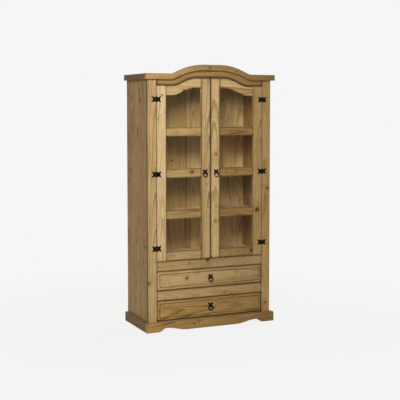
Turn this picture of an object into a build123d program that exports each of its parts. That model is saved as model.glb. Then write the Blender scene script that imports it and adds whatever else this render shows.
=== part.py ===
from build123d import *
from collections import namedtuple
from math import atan2, cos, degrees, pi, sqrt
import os

os.makedirs("parts", exist_ok=True)

# A free-standing pine display cabinet: two glazed doors under an arched crown,
# over two drawers and a shaped plinth.
# Millimetres. X runs to the right, Y from the front to the back, Z up.
# The origin is on the floor, under the middle of the whole cabinet.

# Overall size
overall_width = 1000.0
overall_depth = 450.0
overall_height = 1870.0

# Crown and plinth, which stand out from the carcass
side_overhang = 21.5
crown_projection = 29.0
crown_board_depth = 38.0
crown_board_height = 40.0
crown_round = 3.0
plinth_projection = 30.0
plinth_height = 66.0
plinth_round = 3.0
frame_top_drop = 3.0

# Carcass boards
frame_thickness = 22.0
post_width = 65.0
side_thickness = 15.0
top_thickness = 18.0
floor_thickness = 18.0
base_thickness = 18.0
shelf_thickness = 20.0
back_thickness = 6.0
back_inset = 4.0
back_stile_width = 38.0
back_stile_thickness = 10.0
ease = 1.5

# Heights of what shows on the front, from the plinth up
bottom_rail_show = 4.0
lower_drawer_height = 145.0
drawer_rail_height = 70.0
upper_drawer_height = 138.0
mid_rail_height = 69.0
frieze_height = 41.0
bottom_rail_height = 40.0

# Doors
door_thickness = 20.0
door_gap = 3.0
door_floor_gap = 2.5
meeting_gap = 5.0
stile_width = 69.0
door_bottom_rail = 64.0
door_top_rail = 68.0
bar_height = 63.0
bar_count = 3
pane_height = 228.0

# Glass and the rebate it lies in
rebate_width = 8.0
rebate_shoulder = 11.0
glass_thickness = 3.0
glass_clearance = 1.0
bead_clearance = 0.2

# Shelves and their cleats
shelf_drop = 32.0
shelf_end_gap = 1.0
shelf_setback = 8.0
cleat_width = 14.0
cleat_height = 18.0
cleat_setback = 8.0

# Drawers
drawer_gap = 3.0
drawer_front_thickness = 22.0
field_border = 20.0
field_depth = 4.0
field_step = 1.0
box_side_inset = 2.0
box_side_thickness = 12.0
box_lift = 10.0
box_top_gap = 7.0
box_back_gap = 9.0
drawer_bottom_thickness = 4.0
groove_depth = 5.0
groove_height = 8.0
groove_clearance = 0.2
back_clearance = 0.1
guide_clearance = 1.0
bearer_thickness = 14.0
bearer_lap = 14.0
guide_height = 26.0

# Under the floor of the lower drawer
back_rail_thickness = 18.0
corner_block_leg = 45.0
floor_clearance = 8.0

# Butterfly hinges, with their axis in front of the door
hinge_disc_radius = 19.5
hinge_thickness = 2.0
tail_waist_x = 17.5
tail_waist_half = 15.5
tail_corner_x = 28.8
tail_corner_half = 21.0
tail_end_x = 33.5
tail_end_half = 16.0
tail_fork_x = 24.8
hinge_axis_proud = 4.5
knuckle_radius = 4.0
knuckle_length = 36.0
knuckle_sides = 12
knuckle_gap = 0.3
pin_radius = 1.6
pin_clearance = 0.05
pin_end_proud = 2.0
leaf_gap = 0.6
top_hinge_drop = 94.0
bottom_hinge_rise = 90.5

# Ring pulls on crossed backplates
plate_arm_length = 44.0
plate_arm_width = 12.5
plate_boss_radius = 10.5
plate_thickness = 2.0
ring_radius = 17.0
ring_wire_radius = 2.7
ring_wire_sides = 6
ring_sides = 36
eye_proud = 8.5
eye_radius = 6.3
eye_width = 6.0
eye_bore_radius = 3.5
eye_sides = 12
eye_neck_width = 6.0
pull_from_sight = 27.6
door_pull_rise = 4.0
lower_pull_rise = 10.0
upper_pull_rise = 6.0

# Magnetic catches inside, at the feet of the doors
catch_width = 30.0
catch_depth = 15.0
catch_height = 12.0
catch_from_middle = 35.0
catch_gap = 0.5

# The arched outlines of the crown and of the doors
crown_rise = 65.0
crown_crest_half = 60.0
crown_level_end = 184.5
crown_ramp_share = 0.164
crown_shoulder_share = 0.83
door_rise = 55.0
door_crest_length = 28.5
door_level_end = 46.0
door_ramp_share = 0.259
door_shoulder_share = 0.66

# The lower edge of the plinth, from the middle outwards
plinth_floor_gap = 2.0
plinth_level_half = 190.0
plinth_peak_x = 350.0
plinth_peak_z = 25.0
plinth_foot_x = 412.0

# Places worked out from the sizes above
carcass_half = overall_width / 2 - side_overhang
side_inner = carcass_half - side_thickness
opening_half = carcass_half - post_width
face_y = plinth_projection - overall_depth / 2
frame_back_y = face_y + frame_thickness
back_y = overall_depth / 2
panel_front_y = back_y - back_inset - back_thickness
flat_top = overall_height - crown_rise
frame_top = flat_top - frame_top_drop
crown_underside = flat_top - crown_board_height
top_panel_underside = flat_top - top_thickness
lower_opening_z = plinth_height + bottom_rail_show
drawer_rail_z = lower_opening_z + lower_drawer_height
upper_opening_z = drawer_rail_z + drawer_rail_height
mid_rail_z = upper_opening_z + upper_drawer_height
door_opening_z = mid_rail_z + mid_rail_height
door_opening_top = crown_underside - frieze_height
door_opening_crest = door_opening_top + door_rise
floor_top = door_opening_z + floor_thickness
base_underside = plinth_height - base_thickness

door_inner_x = meeting_gap / 2
door_outer_x = opening_half - door_gap
sight_inner_x = door_inner_x + stile_width
sight_outer_x = door_outer_x - stile_width
door_bottom_z = door_opening_z + door_floor_gap
door_flat_top = door_opening_top - door_gap
door_crest = door_flat_top + door_rise
sight_bottom_z = door_bottom_z + door_bottom_rail
sight_crest = door_crest - door_top_rail
bay_pitch = pane_height + bar_height
bar_bottoms = [sight_bottom_z + pane_height + i * bay_pitch for i in range(bar_count)]
shelf_tops = [z + bar_height - shelf_drop for z in bar_bottoms]
door_back_y = face_y + door_thickness
glass_front_y = face_y + rebate_shoulder
glass_back_y = glass_front_y + glass_thickness
hinge_x = (opening_half + door_outer_x) / 2
hinge_y = face_y - hinge_axis_proud
bottom_hinge_z = door_bottom_z + bottom_hinge_rise
top_hinge_z = door_flat_top - top_hinge_drop
hinge_heights = (bottom_hinge_z, (bottom_hinge_z + top_hinge_z) / 2, top_hinge_z)
door_pull_x = sight_inner_x - pull_from_sight
door_pull_z = bar_bottoms[bar_count // 2] + bar_height / 2 + door_pull_rise

drawer_half = opening_half - drawer_gap
box_half = drawer_half - box_side_inset
box_inner_half = box_half - box_side_thickness
box_front_y = face_y + drawer_front_thickness
box_back_y = panel_front_y - box_back_gap


# From the middle outwards an arch has a level crest as far as crest_x, a rounded shoulder,
# a straight ramp and a hollow foot that ends level at foot_x, and each runs on from the last.
# The ramp has its share of the straight line between the two ends, which settles the slope and
# the sum of the two radii. The shoulder has its share of that sum, and the foot has the rest.
Arch = namedtuple("Arch", "rise crest_x foot_x ramp_share shoulder_share")
crown_foot_x = overall_width / 2 - crown_level_end
crown_arch = Arch(crown_rise, crown_crest_half, crown_foot_x, crown_ramp_share, crown_shoulder_share)
door_crest_x = sight_inner_x + door_crest_length
door_foot_x = sight_outer_x - door_level_end
door_arch = Arch(door_rise, door_crest_x, door_foot_x, door_ramp_share, door_shoulder_share)


def front_plane(y):
    """The upright plane that faces the viewer at depth y: X to the right, Z up."""
    return Plane.XZ.offset(-y)


def keep(piece, name):
    """Labels a finished piece and writes it under its own name."""
    piece.part.label = name
    export_step(piece.part, f"parts/{name}.step")


def block(x_span, y_span, z_span, mode=Mode.ADD):
    """Adds one straight board to the open part, between the two ends of each span."""
    with BuildSketch(Plane.XY.offset(z_span[0])) as section:
        with Locations((sum(x_span) / 2, sum(y_span) / 2)):
            Rectangle(abs(x_span[1] - x_span[0]), abs(y_span[1] - y_span[0]))
    return extrude(section.sketch, amount=z_span[1] - z_span[0], mode=mode)


def arch_half(arch, crest_z, start_x, end_x):
    """Adds half an arched outline to the open line, from start_x at the crest out to end_x."""
    run = arch.foot_x - arch.crest_x
    chord = sqrt(run**2 + arch.rise**2)
    ramp_length = arch.ramp_share * chord
    radii = (chord**2 - ramp_length**2) / (2 * arch.rise)
    slope = degrees(atan2(radii, ramp_length) - atan2(radii - arch.rise, run))
    shoulder_radius = radii * arch.shoulder_share
    crest = Line((start_x, crest_z), (arch.crest_x, crest_z))
    shoulder = JernArc(crest @ 1, crest % 1, shoulder_radius, -slope)
    ramp = PolarLine(shoulder @ 1, ramp_length, -slope)
    foot = JernArc(ramp @ 1, ramp % 1, radii - shoulder_radius, slope)
    return Line(foot @ 1, (end_x, crest_z - arch.rise))


# Carcass: sides, face frame, top, floor, base and back

for side, hand in ((-1, "left"), (1, "right")):
    with BuildPart() as side_panel:
        block((side * side_inner, side * carcass_half), (frame_back_y, back_y), (0, top_panel_underside))
    keep(side_panel, f"side_panel_{hand}")

    with BuildPart() as face_post:
        block((side * opening_half, side * carcass_half), (face_y, frame_back_y), (0, frame_top))
        chamfer(face_post.edges().filter_by(Axis.Z).group_by(Axis.Y)[0], ease)
    keep(face_post, f"face_post_{hand}")

for rail_name, rail_span in (
    ("face_bottom_rail", (lower_opening_z - bottom_rail_height, lower_opening_z)),
    ("face_drawer_rail", (drawer_rail_z, upper_opening_z)),
    ("face_mid_rail", (mid_rail_z, door_opening_z)),
):
    with BuildPart() as face_rail:
        block((-opening_half, opening_half), (face_y, frame_back_y), rail_span)
        chamfer(face_rail.faces().sort_by(Axis.Y)[0].edges(), ease)
    keep(face_rail, rail_name)

with BuildPart() as face_top_rail:
    with BuildSketch(front_plane(face_y)):
        with BuildLine():
            arch_half(crown_arch, overall_height - frame_top_drop, 0, opening_half)
            Line((opening_half, frame_top), (opening_half, door_opening_top))
            arch_half(door_arch, door_opening_crest, 0, opening_half)
            mirror(about=Plane.YZ)
        make_face()
    extrude(amount=-frame_thickness)
    rail_front = face_top_rail.faces().sort_by(Axis.Y)[0]
    door_edges = rail_front.edges().filter_by(lambda e: e.bounding_box().max.Z < frame_top - ease)
    chamfer(door_edges, ease)
keep(face_top_rail, "face_top_rail")

with BuildPart() as top_panel:
    block((-carcass_half, carcass_half), (frame_back_y, back_y), (top_panel_underside, flat_top))
keep(top_panel, "top_panel")

with BuildPart() as compartment_floor:
    block((-side_inner, side_inner), (frame_back_y, panel_front_y), (door_opening_z, floor_top))
    chamfer(compartment_floor.edges().filter_by(Axis.X).group_by(Axis.Y)[0].sort_by(Axis.Z)[-1], ease)
keep(compartment_floor, "compartment_floor")

with BuildPart() as base_panel:
    block((-side_inner, side_inner), (frame_back_y, panel_front_y), (base_underside, plinth_height))
keep(base_panel, "base_panel")

for side, hand in ((-1, "left"), (1, "right")):
    with BuildPart() as back_panel:
        block(
            (0, side * side_inner),
            (panel_front_y, panel_front_y + back_thickness),
            (floor_clearance, top_panel_underside),
        )
    keep(back_panel, f"back_panel_{hand}")

with BuildPart() as back_centre_stile:
    block(
        (-back_stile_width / 2, back_stile_width / 2),
        (panel_front_y - back_stile_thickness, panel_front_y),
        (floor_top, top_panel_underside),
    )
    chamfer(back_centre_stile.edges().filter_by(Axis.Z).group_by(Axis.Y)[0], ease)
keep(back_centre_stile, "back_centre_stile")

back_rail_front_y = panel_front_y - back_rail_thickness
with BuildPart() as back_bottom_rail:
    block((-side_inner, side_inner), (back_rail_front_y, panel_front_y), (floor_clearance, base_underside))
keep(back_bottom_rail, "back_bottom_rail")

# Each block is a right-angled wedge whose square corner sits in a corner of the base.
with BuildPart() as corner_blocks:
    with BuildSketch(Plane.XY.offset(floor_clearance)):
        for corner_y, inward in ((frame_back_y, 1), (back_rail_front_y, -1)):
            with BuildLine():
                Polyline(
                    (side_inner, corner_y),
                    (side_inner - corner_block_leg, corner_y),
                    (side_inner, corner_y + inward * corner_block_leg),
                    close=True,
                )
            make_face()
        mirror(about=Plane.YZ)
    extrude(amount=base_underside - floor_clearance)
keep(corner_blocks, "corner_blocks")

# Crown: an arched board across the front, rebated over the carcass, and straight sides

crown_front_y = face_y - crown_projection
crown_end_y = crown_front_y + crown_board_depth
with BuildPart() as crown_front:
    with BuildSketch(front_plane(crown_front_y)):
        with BuildLine():
            arch_half(crown_arch, overall_height, 0, overall_width / 2)
            Line((overall_width / 2, flat_top), (overall_width / 2, crown_underside))
            arch_half(crown_arch, overall_height - crown_board_height, 0, overall_width / 2)
            mirror(about=Plane.YZ)
        make_face()
    extrude(amount=-crown_board_depth)
    fillet(crown_front.faces().sort_by(Axis.Y)[0].edges(), crown_round)
    block(
        (-carcass_half, carcass_half),
        (face_y, crown_end_y),
        (crown_underside, overall_height),
        mode=Mode.SUBTRACT,
    )
keep(crown_front, "crown_front")

for side, hand in ((-1, "left"), (1, "right")):
    overhang_span = (side * carcass_half, side * overall_width / 2)
    with BuildPart() as cornice:
        block(overhang_span, (crown_end_y, back_y), (crown_underside, flat_top))
        fillet(cornice.edges().filter_by(Axis.Y).sort_by(lambda e: -side * e.center().X)[:2], crown_round)
    keep(cornice, f"cornice_{hand}")

    with BuildPart() as plinth_side:
        block(overhang_span, (face_y, back_y), (0, plinth_height))
        outer_edges = plinth_side.edges().filter_by(Axis.Y).sort_by(lambda e: -side * e.center().X)[:2]
        fillet(outer_edges.sort_by(Axis.Z)[-1], plinth_round)
    keep(plinth_side, f"plinth_{hand}")

# The plinth's lower edge lies just off the floor in the middle, climbs slowly to a peak
# and drops in an ogee to the feet.
with BuildPart() as plinth_front:
    with BuildSketch(front_plane(face_y - plinth_projection)):
        with BuildLine():
            middle = Line((0, plinth_floor_gap), (plinth_level_half, plinth_floor_gap))
            peak = (plinth_peak_x, plinth_peak_z)
            climb = Spline(middle @ 1, peak, tangents=[(1, 0), (1, 0)])
            drop = Spline(climb @ 1, (plinth_foot_x, 0), tangents=[(1, 0), (1, 0)])
            sole = Line(drop @ 1, (overall_width / 2, 0))
            end = Line(sole @ 1, (overall_width / 2, plinth_height))
            Line(end @ 1, (0, plinth_height))
            mirror(about=Plane.YZ)
        make_face()
    extrude(amount=-plinth_projection)
    front_edges = plinth_front.faces().sort_by(Axis.Y)[0].edges()
    fillet(front_edges.filter_by(Axis.X).group_by(Axis.Z)[-1] + front_edges.filter_by(Axis.Z), plinth_round)
keep(plinth_front, "plinth_front")

# Shelves, on cleats along the sides. Each lies behind a bar of the doors.

shelf_front_y = frame_back_y + shelf_setback
shelf_back_y = panel_front_y - back_stile_thickness - shelf_end_gap
shelf_half = side_inner - shelf_end_gap
for shelf_name, shelf_top in zip(("shelf_lower", "shelf_middle", "shelf_upper"), shelf_tops):
    shelf_z_span = (shelf_top - shelf_thickness, shelf_top)
    with BuildPart() as shelf:
        block((-shelf_half, shelf_half), (shelf_front_y, shelf_back_y), shelf_z_span)
        chamfer(shelf.edges().filter_by(Axis.X).group_by(Axis.Y)[0], ease)
    keep(shelf, shelf_name)

with BuildPart() as cleats:
    cleat_inner = side_inner - cleat_width
    cleat_y_span = (shelf_front_y + cleat_setback, shelf_back_y - cleat_setback)
    for cleat_top in [z - shelf_thickness for z in shelf_tops] + [door_opening_z]:
        cleat_z_span = (cleat_top - cleat_height, cleat_top)
        block((-side_inner, -cleat_inner), cleat_y_span, cleat_z_span)
        block((cleat_inner, side_inner), cleat_y_span, cleat_z_span)
    block((-cleat_inner, cleat_inner), (frame_back_y, frame_back_y + cleat_width), cleat_z_span)
keep(cleats, "cleats")

with BuildPart() as door_catches:
    catch_y_span = (door_back_y + catch_gap, door_back_y + catch_gap + catch_depth)
    catch_z_span = (floor_top, floor_top + catch_height)
    for side in (-1, 1):
        catch_x = side * catch_from_middle
        block((catch_x - catch_width / 2, catch_x + catch_width / 2), catch_y_span, catch_z_span)
    chamfer(door_catches.edges().filter_by(Axis.Z), ease)
keep(door_catches, "door_catches")

# Doors. Each is drawn for the right hand and mirrored for the left. A bay is the sight of
# one pane between two rails, and grow widens it on every side into the rebate.


def bay_outline(bay, grow):
    """Adds the face of one glazed bay to the open sketch, widened by grow on every side."""
    low_z = sight_bottom_z + bay * bay_pitch - grow
    left_x = sight_inner_x - grow
    right_x = sight_outer_x + grow
    if bay < bar_count:
        with Locations(((left_x + right_x) / 2, low_z + pane_height / 2 + grow)):
            Rectangle(right_x - left_x, pane_height + 2 * grow)
    else:
        crest_z = sight_crest + grow
        with BuildLine() as outline:
            arch_half(door_arch, crest_z, left_x, right_x)
            Line((right_x, crest_z - door_arch.rise), (right_x, low_z))
            Line((right_x, low_z), (left_x, low_z))
            Line((left_x, low_z), (left_x, crest_z))
        make_face(outline.edges())


def cut_rebates():
    """Cuts the rebates of every bay into the open part, from the back of the door."""
    with BuildSketch(front_plane(glass_front_y)) as rebates:
        for bay in range(bar_count + 1):
            bay_outline(bay, rebate_width)
    extrude(rebates.sketch, amount=-(door_back_y - glass_front_y), mode=Mode.SUBTRACT)


def door_board(x_span, z_span):
    """Makes one straight member of a right-hand door, eased in front and rebated behind."""
    with BuildPart() as member:
        with BuildSketch(front_plane(face_y)):
            with Locations(((x_span[0] + x_span[1]) / 2, (z_span[0] + z_span[1]) / 2)):
                Rectangle(x_span[1] - x_span[0], z_span[1] - z_span[0])
        extrude(amount=-door_thickness)
        chamfer(member.faces().sort_by(Axis.Y)[0].edges(), ease)
        cut_rebates()
    return member


def keep_pair(piece, name):
    """Writes a right-hand part, and its mirror image for the left."""
    keep(piece, name.format(hand="right"))
    with BuildPart() as mirrored:
        mirror(piece.part, about=Plane.YZ)
    keep(mirrored, name.format(hand="left"))


hinge_stile = door_board((sight_outer_x, door_outer_x), (door_bottom_z, door_flat_top))
keep_pair(hinge_stile, "door_{hand}_hinge_stile")
lock_stile = door_board((door_inner_x, sight_inner_x), (door_bottom_z, door_crest))
keep_pair(lock_stile, "door_{hand}_lock_stile")
bottom_rail = door_board((sight_inner_x, sight_outer_x), (door_bottom_z, sight_bottom_z))
keep_pair(bottom_rail, "door_{hand}_bottom_rail")

with BuildPart() as top_rail:
    with BuildSketch(front_plane(face_y)):
        with BuildLine():
            arch_half(door_arch, door_crest, sight_inner_x, sight_outer_x)
            Line((sight_outer_x, door_flat_top), (sight_outer_x, door_flat_top - door_top_rail))
            arch_half(door_arch, sight_crest, sight_inner_x, sight_outer_x)
            Line((sight_inner_x, sight_crest), (sight_inner_x, door_crest))
        make_face()
    extrude(amount=-door_thickness)
    chamfer(top_rail.faces().sort_by(Axis.Y)[0].edges(), ease)
    cut_rebates()
keep_pair(top_rail, "door_{hand}_top_rail")

with BuildPart() as glazing_bars:
    for bar_z in bar_bottoms:
        bar = door_board((sight_inner_x, sight_outer_x), (bar_z, bar_z + bar_height))
        add(bar.part)
keep_pair(glazing_bars, "door_{hand}_glazing_bars")

with BuildPart() as panes:
    with BuildSketch(front_plane(glass_front_y)):
        for bay in range(bar_count + 1):
            bay_outline(bay, rebate_width - glass_clearance)
    extrude(amount=-glass_thickness)
keep_pair(panes, "door_{hand}_panes")

# Four strips of bead hold each pane, and the topmost strip follows the arch.
with BuildPart() as beads:
    bead = rebate_width - bead_clearance
    level_length = sight_outer_x - sight_inner_x - 2 * bead_clearance
    sight_middle_x = (sight_inner_x + sight_outer_x) / 2
    with BuildSketch(front_plane(glass_back_y)):
        for bay in range(bar_count + 1):
            bay_low = sight_bottom_z + bay * bay_pitch
            with Locations((sight_middle_x, bay_low - bead / 2)):
                Rectangle(level_length, bead)
            if bay < bar_count:
                inner_high = outer_high = bay_low + pane_height
                with Locations((sight_middle_x, inner_high + bead / 2)):
                    Rectangle(level_length, bead)
            else:
                inner_high = sight_crest
                outer_high = sight_crest - door_arch.rise
            for upright_x, high in ((sight_inner_x - bead / 2, inner_high),
                                    (sight_outer_x + bead / 2, outer_high)):
                with Locations((upright_x, (bay_low + high) / 2)):
                    Rectangle(bead, high - bay_low + 2 * bead)
        with BuildLine():
            left_x = sight_inner_x + bead_clearance
            right_x = sight_outer_x - bead_clearance
            arch_half(door_arch, sight_crest + bead, left_x, right_x)
            Line((right_x, outer_high + bead), (right_x, outer_high))
            arch_half(door_arch, sight_crest, left_x, right_x)
            Line((left_x, sight_crest), (left_x, sight_crest + bead))
        make_face()
    extrude(amount=-(door_back_y - glass_back_y))
keep_pair(beads, "door_{hand}_glazing_beads")

# Butterfly hinges. The knuckle is in three: the door's leaf has the middle third, and the
# post's leaf has the two ends and the pin.

knuckle_third = knuckle_length / 3


def fishtail_leaf(outward, hinge_z, notches):
    """Adds one flat leaf to the open part: a half disc with two flared tails. Each notch is
    the height from the middle, and the length, of a knuckle of the other leaf."""
    leaf_plane = Plane(origin=(hinge_x, face_y, hinge_z), x_dir=(1, 0, 0), z_dir=(0, -1, 0))
    waist = (tail_waist_x, tail_waist_half)
    corner = (tail_corner_x, tail_corner_half)
    end = (tail_end_x, tail_end_half)
    upper = [(0, 0), waist, corner, end, (tail_fork_x, 0)]
    lower = [(x, -z) for x, z in reversed(upper[1:-1])]
    with BuildSketch(leaf_plane) as leaf:
        with BuildLine():
            Polyline([(outward * x, z) for x, z in upper + lower], close=True)
        make_face()
        Circle(hinge_disc_radius)
        with Locations((-outward * hinge_disc_radius, 0)):
            Rectangle(2 * hinge_disc_radius + leaf_gap, 2 * hinge_disc_radius, mode=Mode.SUBTRACT)
        for notch_z, notch_length in notches:
            with Locations((0, notch_z)):
                Rectangle(2 * (knuckle_radius + knuckle_gap), notch_length, mode=Mode.SUBTRACT)
    extrude(leaf.sketch, amount=hinge_thickness)


def knuckle(low_z, length):
    """Adds one length of a forged, twelve-sided knuckle with its bore to the open part. The
    flats of the bore clear the round pin at every angle."""
    with BuildSketch(Plane.XY.offset(low_z)) as section:
        with Locations((hinge_x, hinge_y)):
            RegularPolygon(knuckle_radius, knuckle_sides)
    extrude(section.sketch, amount=length)
    with BuildSketch(Plane.XY.offset(low_z)) as bore:
        with Locations((hinge_x, hinge_y)):
            RegularPolygon(pin_radius + pin_clearance, knuckle_sides, major_radius=False)
    extrude(bore.sketch, amount=length, mode=Mode.SUBTRACT)


with BuildPart() as door_leaves:
    for hinge_z in hinge_heights:
        end_notches = [(end * knuckle_third, knuckle_third) for end in (-1, 1)]
        fishtail_leaf(-1, hinge_z, end_notches)
        middle_length = knuckle_third - 2 * knuckle_gap
        knuckle(hinge_z - middle_length / 2, middle_length)
keep_pair(door_leaves, "door_{hand}_hinge_leaves")

with BuildPart() as post_leaves:
    for hinge_z in hinge_heights:
        fishtail_leaf(1, hinge_z, [(0, knuckle_third)])
        for low_z in (hinge_z - knuckle_length / 2, hinge_z + knuckle_third / 2):
            knuckle(low_z, knuckle_third)
    mirror(about=Plane.YZ)
keep(post_leaves, "hinge_post_leaves")

with BuildPart() as hinge_pins:
    for hinge_z in hinge_heights:
        with BuildSketch(Plane.XY.offset(hinge_z - knuckle_length / 2 - pin_end_proud)):
            with Locations((hinge_x, hinge_y)):
                Circle(pin_radius)
        extrude(amount=knuckle_length + 2 * pin_end_proud)
    mirror(about=Plane.YZ)
keep(hinge_pins, "hinge_pins")

# Ring pulls: a crossed backplate with an eye, and a ring that hangs through the eye


def pull_plate(x, z):
    """Makes a crossed backplate at x and z on the front, with its boss and its eye."""
    with BuildPart() as plate:
        with BuildSketch(front_plane(face_y)):
            with Locations((x, z)):
                for tilt in (45, -45):
                    Rectangle(plate_arm_length, plate_arm_width, rotation=tilt)
                Circle(plate_boss_radius)
        extrude(amount=plate_thickness)
        with BuildSketch(Plane.YZ.offset(x - eye_width / 2)):
            with Locations((face_y - (plate_thickness + eye_proud) / 2, z)):
                Rectangle(eye_proud - plate_thickness, eye_neck_width)
            with Locations((face_y - eye_proud, z)):
                RegularPolygon(eye_radius, eye_sides)
                Circle(eye_bore_radius, mode=Mode.SUBTRACT)
        extrude(amount=eye_width)
    return plate


def pull_ring(x, z):
    """Makes the ring that hangs in the eye at x and z. Its wire has six flats, two of them
    facing front and back, so the ring narrows from its middle plane towards those."""
    wire_tilt = 180 / ring_wire_sides
    with BuildPart() as ring:
        with BuildSketch(front_plane(face_y - eye_proud)):
            with Locations((x, z - ring_radius)):
                RegularPolygon(ring_radius + ring_wire_radius, ring_sides)
                RegularPolygon(ring_radius - ring_wire_radius, ring_sides, mode=Mode.SUBTRACT)
        extrude(amount=ring_wire_radius * cos(pi / ring_wire_sides), taper=wire_tilt, both=True)
    return ring


keep_pair(pull_plate(door_pull_x, door_pull_z), "door_{hand}_pull_plate")
keep_pair(pull_ring(door_pull_x, door_pull_z), "door_{hand}_pull_ring")

# Drawers: an inset front with a raised field, on a box with its bottom in grooves

for drawer, opening_z, opening_height, pull_rise in (
    ("lower_drawer", lower_opening_z, lower_drawer_height, lower_pull_rise),
    ("upper_drawer", upper_opening_z, upper_drawer_height, upper_pull_rise),
):
    front_height = opening_height - 2 * drawer_gap
    front_z = opening_z + opening_height / 2
    edge_y = face_y + field_depth + field_step
    box_z = opening_z + box_lift
    box_top = opening_z + opening_height - box_top_gap
    groove_z = box_z + groove_height
    groove_cut = drawer_bottom_thickness + groove_clearance

    with BuildPart() as drawer_front:
        with BuildSketch(front_plane(edge_y)):
            with Locations((0, front_z)):
                Rectangle(2 * drawer_half, front_height)
        extrude(amount=-(drawer_front_thickness - field_depth - field_step))
        with BuildSketch(front_plane(edge_y)):
            with Locations((0, front_z)):
                Rectangle(2 * drawer_half, front_height)
        with BuildSketch(front_plane(face_y + field_step)):
            with Locations((0, front_z)):
                Rectangle(2 * (drawer_half - field_border), front_height - 2 * field_border)
        loft(ruled=True)
        with BuildSketch(front_plane(face_y + field_step)):
            with Locations((0, front_z)):
                Rectangle(2 * (drawer_half - field_border - field_step),
                          front_height - 2 * (field_border + field_step))
        extrude(amount=field_step)
        with BuildSketch(front_plane(box_front_y)):
            with Locations((0, groove_z + groove_cut / 2)):
                Rectangle(2 * (box_inner_half + groove_depth), groove_cut)
        extrude(amount=groove_depth, mode=Mode.SUBTRACT)
    keep(drawer_front, f"{drawer}_front")

    # The back stands on the bottom, between the sides, and so is a solid of its own.
    with BuildPart() as drawer_box:
        for side in (-1, 1):
            block((side * box_inner_half, side * box_half), (box_front_y, box_back_y), (box_z, box_top))
        groove_half = box_inner_half + groove_depth
        block((-groove_half, groove_half), (box_front_y, box_back_y), (groove_z, groove_z + groove_cut),
              mode=Mode.SUBTRACT)
        block((-box_inner_half + back_clearance, box_inner_half - back_clearance),
              (box_back_y - box_side_thickness, box_back_y), (groove_z + drawer_bottom_thickness, box_top))
    keep(drawer_box, f"{drawer}_box")

    with BuildPart() as drawer_bottom:
        groove_reach = groove_depth - groove_clearance
        bottom_half = box_inner_half + groove_reach
        block((-bottom_half, bottom_half), (box_front_y - groove_reach, box_back_y),
              (groove_z, groove_z + drawer_bottom_thickness))
    keep(drawer_bottom, f"{drawer}_bottom")

    keep(pull_plate(0, front_z + pull_rise), f"{drawer}_pull_plate")
    keep(pull_ring(0, front_z + pull_rise), f"{drawer}_pull_ring")

# A bearer carries each side of each drawer, and a guide above it keeps the drawer straight.
with BuildPart() as drawer_runners:
    runner_y_span = (frame_back_y, panel_front_y)
    bearer_inner = box_half - bearer_lap
    guide_inner = box_half + guide_clearance
    for opening_z in (lower_opening_z, upper_opening_z):
        bearer_top = opening_z + box_lift
        for side in (-1, 1):
            block((side * bearer_inner, side * side_inner), runner_y_span,
                  (bearer_top - bearer_thickness, bearer_top))
            block((side * guide_inner, side * side_inner), runner_y_span,
                  (bearer_top, bearer_top + guide_height))
keep(drawer_runners, "drawer_runners")
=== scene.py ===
# %% [markdown]
# # A display cabinet in waxed pine
# The cabinet has two glazed doors under an arched crown, two drawers and a shaped plinth.
# Its boards and panes come from the CAD model, true in size, and are never moved here. This
# lesson gives them their wood, glass and wax, and makes the iron fittings anew, because forged
# iron has bevels, domes and screw heads that the plain solids leave out.

# %% Load the fixed frame
from math import pi, radians

import bmesh
import bpy
import numpy as np
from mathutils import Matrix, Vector


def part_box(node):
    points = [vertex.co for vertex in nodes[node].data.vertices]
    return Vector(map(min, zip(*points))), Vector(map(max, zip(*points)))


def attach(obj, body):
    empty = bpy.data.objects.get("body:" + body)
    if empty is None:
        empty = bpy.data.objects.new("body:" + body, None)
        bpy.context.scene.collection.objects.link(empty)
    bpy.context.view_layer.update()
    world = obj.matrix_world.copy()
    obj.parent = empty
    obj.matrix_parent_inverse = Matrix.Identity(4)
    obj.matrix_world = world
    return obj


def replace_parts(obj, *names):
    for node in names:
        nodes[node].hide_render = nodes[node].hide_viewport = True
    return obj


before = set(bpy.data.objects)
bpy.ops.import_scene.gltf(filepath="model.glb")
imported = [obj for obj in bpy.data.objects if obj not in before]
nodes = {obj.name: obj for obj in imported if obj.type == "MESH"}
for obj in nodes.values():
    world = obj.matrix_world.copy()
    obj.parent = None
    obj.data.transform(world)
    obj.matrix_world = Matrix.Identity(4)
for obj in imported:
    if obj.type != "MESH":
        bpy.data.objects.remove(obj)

scene = bpy.context.scene
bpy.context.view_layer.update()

# %% [markdown]
# ## Colours
# A colour picked from a screen is in sRGB, and the renderer wants linear light. One function
# turns a hex value into the linear colour of a socket.

# %% Hex to linear
def linear(hex_colour):
    """Each channel over 255 has the sRGB curve undone: a straight line for the darkest values,
    and otherwise (value + 0.055) / 1.055 to the power of 2.4. Alpha is 1."""
    channels = np.array([int(hex_colour[i:i + 2], 16) for i in (1, 3, 5)]) / 255
    channels = np.where(channels <= 0.04045, channels / 12.92, ((channels + 0.055) / 1.055) ** 2.4)
    return (*channels.tolist(), 1.0)


PALE = linear("#F6F6F6")
print("pale background, linear:", [round(v, 3) for v in PALE])

# %% [markdown]
# ## Nodes
# Every material is a tree of nodes. One small function adds a node with its settings and its
# links, and hands back its outputs, so that a later node can take them. Another makes a
# material with an empty tree to add them to.

# %% Add a node, start a material
def add(tree, kind, inputs=None, **settings):
    """Adds one node. Settings are the node's own properties. Inputs, by name or by number,
    take a plain value or the output of another node."""
    node = tree.nodes.new(kind if kind.startswith("Node") else "ShaderNode" + kind)
    for name, value in settings.items():
        setattr(node, name, value)
    for key, value in (inputs or {}).items():
        if isinstance(value, bpy.types.NodeSocket):
            tree.links.new(value, node.inputs[key])
        else:
            node.inputs[key].default_value = value
    return node.outputs


def blank_material(name):
    """A new material and its tree, which has no node in it yet."""
    material = bpy.data.materials.new(name)
    material.use_nodes = True
    material.node_tree.nodes.clear()
    return material, material.node_tree


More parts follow.
